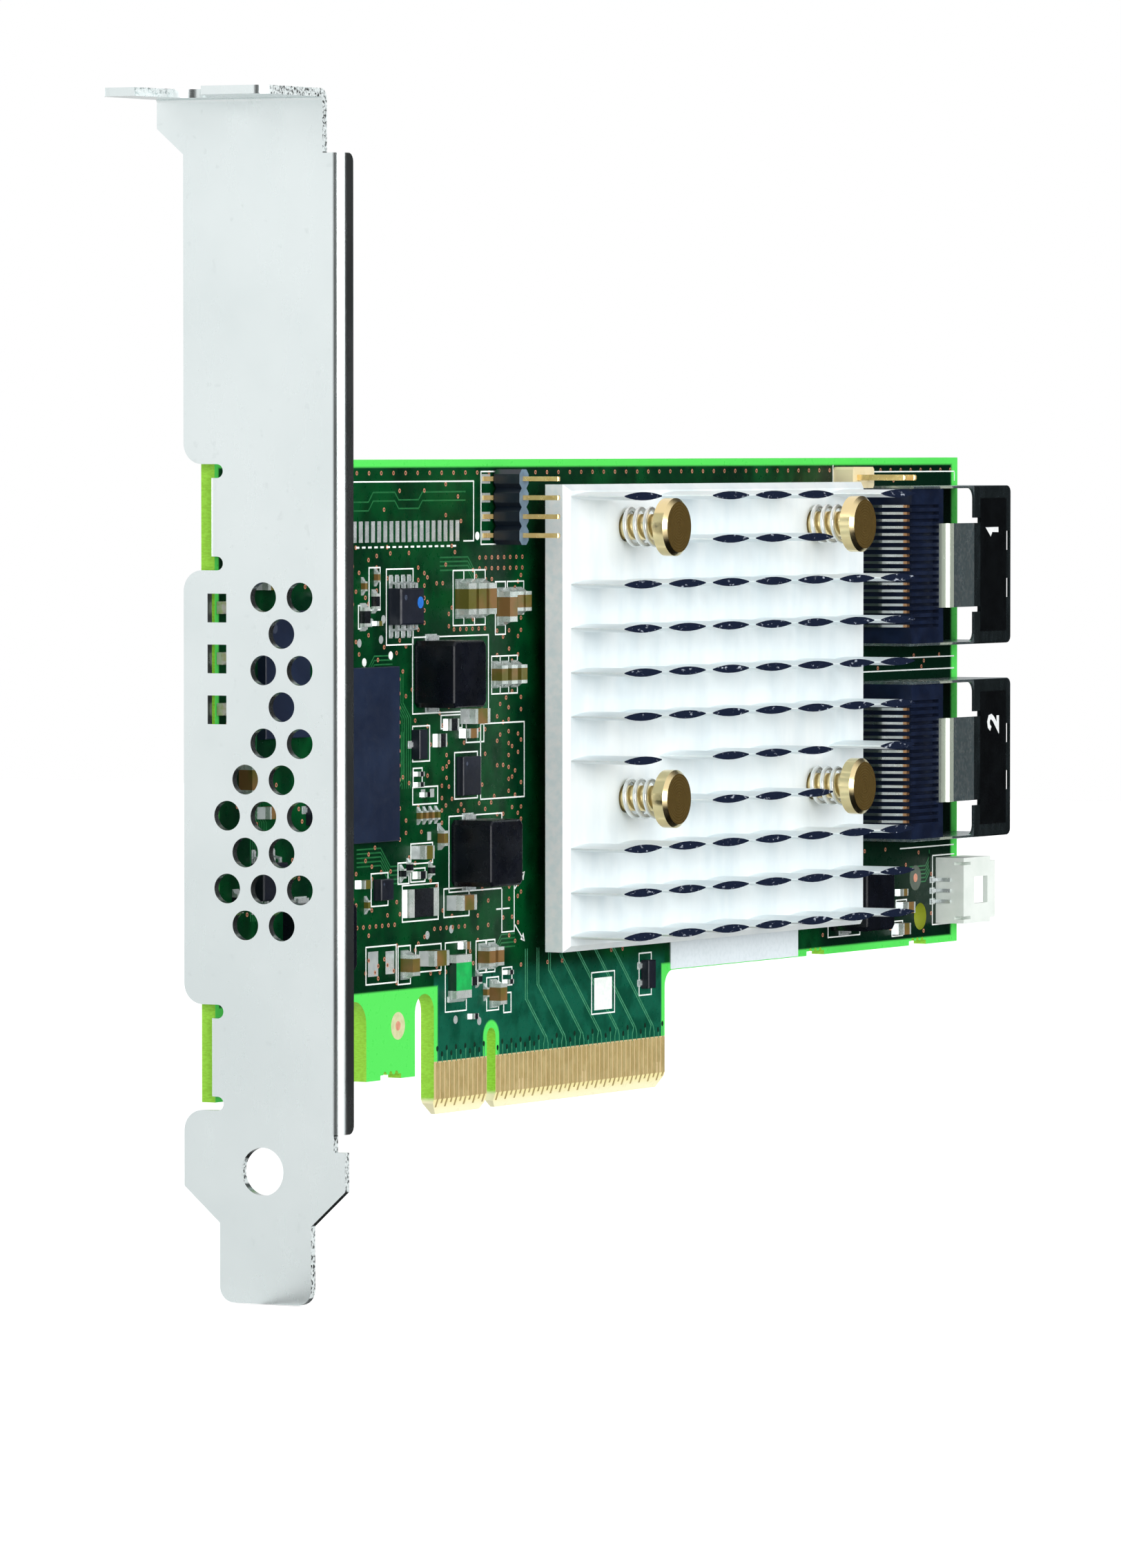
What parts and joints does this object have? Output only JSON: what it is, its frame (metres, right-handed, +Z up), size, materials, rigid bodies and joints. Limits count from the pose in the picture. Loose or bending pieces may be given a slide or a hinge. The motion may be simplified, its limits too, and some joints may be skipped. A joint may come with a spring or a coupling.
{
  "type": "raid controller card",
  "caption": "RAID controller card with a full-height bracket, a finned heatsink on sprung pins and two cable ports.",
  "frame": {"origin": "middle of the key notch at the lower end of the edge contacts, in the board's mid-plane", "axes": "+X along the card from the bracket to the cable ports, +Z up from the contacts to the board's top edge, -Y out of the component side"},
  "size_m": [0.1832, 0.0218, 0.1221],
  "materials": {
    "board_laminate": "green solder mask over glass laminate",
    "gold_plating": "matt gold plating",
    "plated_steel": "satin zinc plating",
    "screw_steel": "plated",
    "chip_black": "fine matt moulding",
    "chip_navy": "satin moulding",
    "grey_pad": "soft, matt",
    "bright_aluminium": "bright etched",
    "turned_brass": "turned, satin",
    "spring_steel": "bright wire",
    "navy_plastic": "satin moulding",
    "tinned_leads": "tinned",
    "cage_steel": "plated sheet",
    "black_label": "matt black film",
    "white_nylon": "slightly translucent moulding",
    "black_nylon": "satin moulding",
    "gold_pins": "gold plated",
    "cream_nylon": "satin moulding",
    "ferrite_black": "smooth moulding",
    "ceramic_brown": "satin fired ceramic",
    "tinned_ends": "dull tin",
    "resistor_black": "lacquer",
    "fuse_green": "lacquer",
    "lamp_clear": "clear lens",
    "white_paper": "matt"
  },
  "bodies": {
    "root": {"back_capacitors": "ceramic_brown", "board_sticker": "white_paper", "bracket_screws": "screw_steel", "capacitor_ends": "tinned_ends", "capacitors": "ceramic_brown", "circuit_board": "board_laminate", "clock_chip_leads": "tinned_leads", "clock_chips": "chip_black", "controller_chip": "chip_black", "debug_header_body": "black_nylon", "debug_header_pins": "gold_pins", "edge_contacts": "gold_plating", "fuse": "fuse_green", "fuse_ends": "tinned_ends", "heatsink": "bright_aluminium", "heatsink_pins": "turned_brass", "inductor_terminals": "tinned_leads", "inductors": "ferrite_black", "jumper_header_body": "cream_nylon", "jumper_header_pins": "gold_pins", "memory_chips": "chip_navy", "mounting_bracket": "plated_steel", "pin_springs": "spring_steel", "port_1_cage": "cage_steel", "port_1_contacts": "tinned_leads", "port_1_housing": "navy_plastic", "port_1_label": "black_label", "port_2_cage": "cage_steel", "port_2_contacts": "tinned_leads", "port_2_housing": "navy_plastic", "port_2_label": "black_label", "power_chips": "chip_black", "resistor_ends": "tinned_ends", "resistors": "resistor_black", "service_pads": "tinned_leads", "side_connector_housing": "white_nylon", "side_connector_pins": "tinned_leads", "status_leds": "lamp_clear", "thermal_pad": "grey_pad", "transistor_leads": "tinned_leads", "transistors": "chip_black"}
  },
  "joints": []
}
